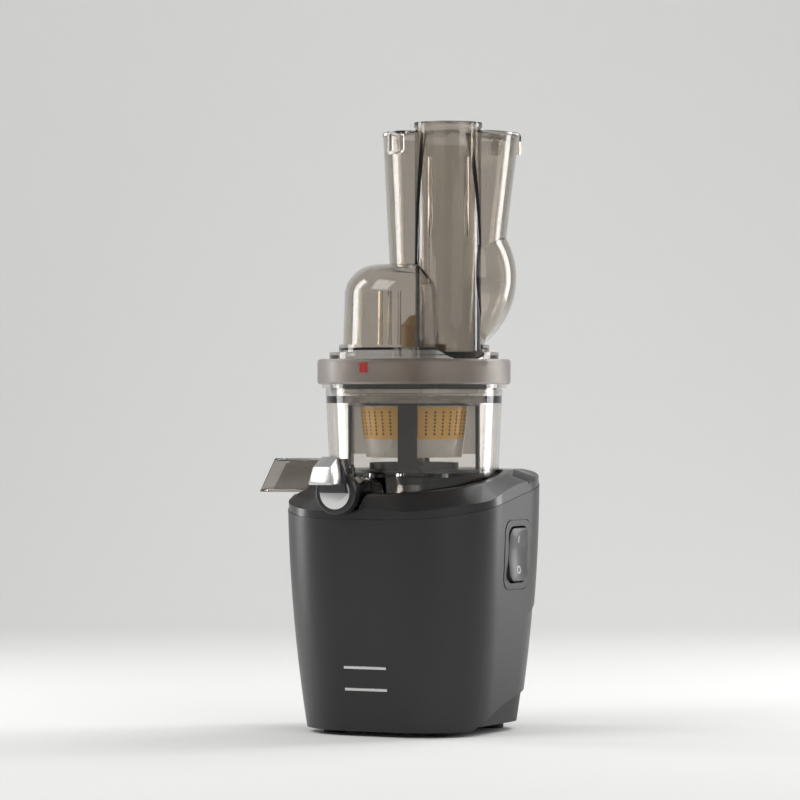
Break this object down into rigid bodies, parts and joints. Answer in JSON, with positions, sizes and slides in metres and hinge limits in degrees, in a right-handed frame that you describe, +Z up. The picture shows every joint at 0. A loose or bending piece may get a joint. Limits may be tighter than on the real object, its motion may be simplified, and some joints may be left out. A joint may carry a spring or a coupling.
{
  "type": "vertical slow juicer",
  "caption": "Countertop juicer with a motor base, smoked clear bowl, strainer, auger, rotary wiper, locking collar, feed tube, wide chute with a flap, juice spout cap and pulp chute.",
  "frame": {"origin": "on the table top, on the drive axis", "axes": "+Z up along the drive axis, front badge towards -Y, power rocker towards +X"},
  "size_m": [0.212, 0.231, 0.4815],
  "materials": {
    "housing_black": "matte",
    "deck_black": "gloss",
    "tray_black": "matte",
    "foot_rubber": "matte",
    "silver_trim": "satin",
    "rocker_black": "satin",
    "fastener_steel": "satin",
    "motor_steel": "satin",
    "winding_copper": "satin",
    "bell_aluminium": "satin",
    "gear_plastic": "satin",
    "fan_plastic": "matte",
    "case_plastic": "matte",
    "board_green": "satin",
    "smoked_clear": "clear gloss",
    "frosted_clear": "frosted",
    "seal_rubber": "matte",
    "cap_black": "satin",
    "amber_resin": "gloss",
    "strainer_black": "satin",
    "auger_resin": "satin",
    "wiper_resin": "satin",
    "blade_silicone": "matte",
    "mark_red": "matte"
  },
  "bodies": {
    "base": {"base_housing": "housing_black", "badge_bars": "silver_trim", "base_tray": "tray_black", "rubber_feet": "foot_rubber", "tray_screws": "fastener_steel", "base_deck": "deck_black", "switch_bezel": "deck_black", "rocker_pin": "fastener_steel", "switch_block": "case_plastic", "motor_stator": "motor_steel", "motor_windings": "winding_copper", "motor_lower_bell": "bell_aluminium", "motor_upper_bell": "bell_aluminium", "motor_bearings": "fastener_steel", "gearbox_case": "case_plastic", "gearbox_cover": "case_plastic", "gearbox_screws": "fastener_steel", "output_bearing": "fastener_steel", "shaft_bush": "gear_plastic", "shaft_seal": "seal_rubber", "control_board": "board_green", "cord_gland": "foot_rubber"},
    "rocker": {"rocker_button": "rocker_black"},
    "rotor": {"rotor_core": "motor_steel", "motor_shaft": "fastener_steel", "motor_fan": "fan_plastic", "motor_pinion": "fastener_steel"},
    "counter": {"counter_shaft": "fastener_steel", "counter_gear": "gear_plastic", "counter_pinion": "fastener_steel"},
    "drive": {"drive_shaft": "fastener_steel", "output_gear": "gear_plastic"},
    "bowl": {"juicing_bowl": "smoked_clear", "locking_collar": "frosted_clear", "lock_mark": "mark_red", "hub_seal": "seal_rubber", "pulp_chute": "smoked_clear", "cap_hinge_pin": "fastener_steel", "idler_pin": "fastener_steel", "strainer_frame": "strainer_black", "strainer_mesh": "amber_resin"},
    "cap": {"juice_cap": "cap_black", "cap_face_disc": "silver_trim", "cap_tab": "silver_trim", "cap_seal": "seal_rubber"},
    "auger_set": {"auger": "auger_resin", "auger_gear": "auger_resin"},
    "idler": {"idler_gear": "gear_plastic"},
    "wiper": {"wiper_frame": "wiper_resin", "wiper_blades": "blade_silicone"},
    "lid": {"hopper": "smoked_clear", "feed_tube": "smoked_clear", "lid_gasket": "seal_rubber", "chute_hinge_pin": "fastener_steel"},
    "flap": {"chute_lid": "smoked_clear"}
  },
  "joints": [
    {"name": "rocker_tilt", "type": "hinge", "parent": "base", "child": "rocker", "pos_m": [0.083, 0.003, 0.141], "axis": [0, 1, 0], "range_deg": [-8, 8]},
    {"name": "drive_spin", "type": "hinge", "parent": "base", "child": "drive", "pos_m": [0, 0, 0.16], "axis": [0, 0, 1], "continuous": true},
    {"name": "counter_spin", "type": "hinge", "parent": "base", "child": "counter", "pos_m": [0, 0.033, 0.13], "axis": [0, 0, 1], "continuous": true},
    {"name": "rotor_spin", "type": "hinge", "parent": "base", "child": "rotor", "pos_m": [0, 0, 0.07], "axis": [0, 0, 1], "continuous": true},
    {"name": "bowl_lift", "type": "slide", "parent": "base", "child": "bowl", "axis": [0, 0, 1], "range_m": [0, 0.07]},
    {"name": "cap_hinge", "type": "hinge", "parent": "bowl", "child": "cap", "pos_m": [-0.0155, -0.091, 0.2085], "axis": [-1, 0, 0], "range_deg": [0, 85]},
    {"name": "auger_spin", "type": "hinge", "parent": "bowl", "child": "auger_set", "pos_m": [0, 0, 0.25], "axis": [0, 0, 1], "continuous": true},
    {"name": "idler_spin", "type": "hinge", "parent": "bowl", "child": "idler", "pos_m": [0.021, 0, 0.209], "axis": [0, 0, 1], "continuous": true},
    {"name": "wiper_spin", "type": "hinge", "parent": "bowl", "child": "wiper", "pos_m": [0, 0, 0.209], "axis": [0, 0, 1], "continuous": true},
    {"name": "lid_twist", "type": "hinge", "parent": "bowl", "child": "lid", "pos_m": [0, 0, 0.29], "axis": [0, 0, 1], "range_deg": [0, 35]},
    {"name": "chute_lid_hinge", "type": "hinge", "parent": "lid", "child": "flap", "pos_m": [0.04967, 0.06899, 0.474], "axis": [-0.91, 0.4147, 0], "range_deg": [0, 100]}
  ],
  "couplings": [
    {"joint": "counter_spin", "follows": "drive_spin", "ratio": -5},
    {"joint": "rotor_spin", "follows": "drive_spin", "ratio": 25},
    {"joint": "auger_spin", "follows": "drive_spin", "ratio": 1},
    {"joint": "idler_spin", "follows": "drive_spin", "ratio": -1.3333},
    {"joint": "wiper_spin", "follows": "drive_spin", "ratio": -0.4}
  ]
}
